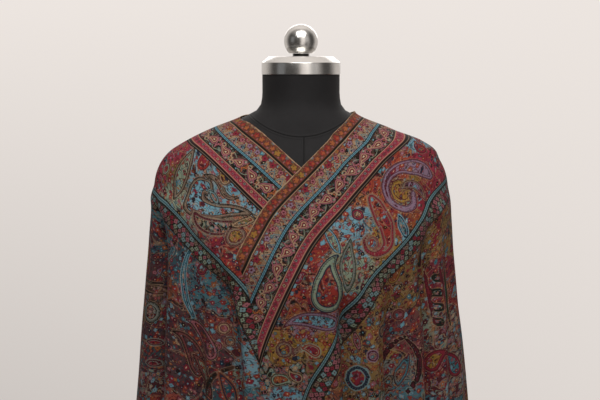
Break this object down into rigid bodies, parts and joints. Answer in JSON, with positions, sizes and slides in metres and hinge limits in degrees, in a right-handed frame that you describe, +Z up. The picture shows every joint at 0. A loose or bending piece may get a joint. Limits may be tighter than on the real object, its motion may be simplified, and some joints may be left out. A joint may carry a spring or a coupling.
{
  "type": "pashmina shawl on a dress form",
  "caption": "Patterned wool shawl worn crossed over a limbless dress form with a metal neck cap and ball, on a pole and a round base.",
  "frame": {"origin": "centre of the stand base's underside, on the floor", "axes": "+Z up, -Y the way the front of the form faces, +X the wearer's left side"},
  "size_m": [0.5598, 0.37, 1.4866],
  "materials": {
    "printed_wool": "fine woven wool with a paisley and border pattern, matt",
    "black_jersey": "stretched black jersey, matt",
    "polished_steel": "polished",
    "dark_steel": "dark, satin",
    "black_board": "matt"
  },
  "bodies": {
    "root": {"shawl_back": "printed_wool", "shawl_front_under": "printed_wool", "shawl_front_over": "printed_wool", "form_torso": "black_jersey", "form_plate": "black_board", "form_neck_cap": "polished_steel", "form_knob_collar": "dark_steel", "form_knob": "polished_steel", "stand_flange": "polished_steel", "stand_pole": "polished_steel", "stand_hub": "polished_steel", "stand_base": "polished_steel"}
  },
  "joints": []
}
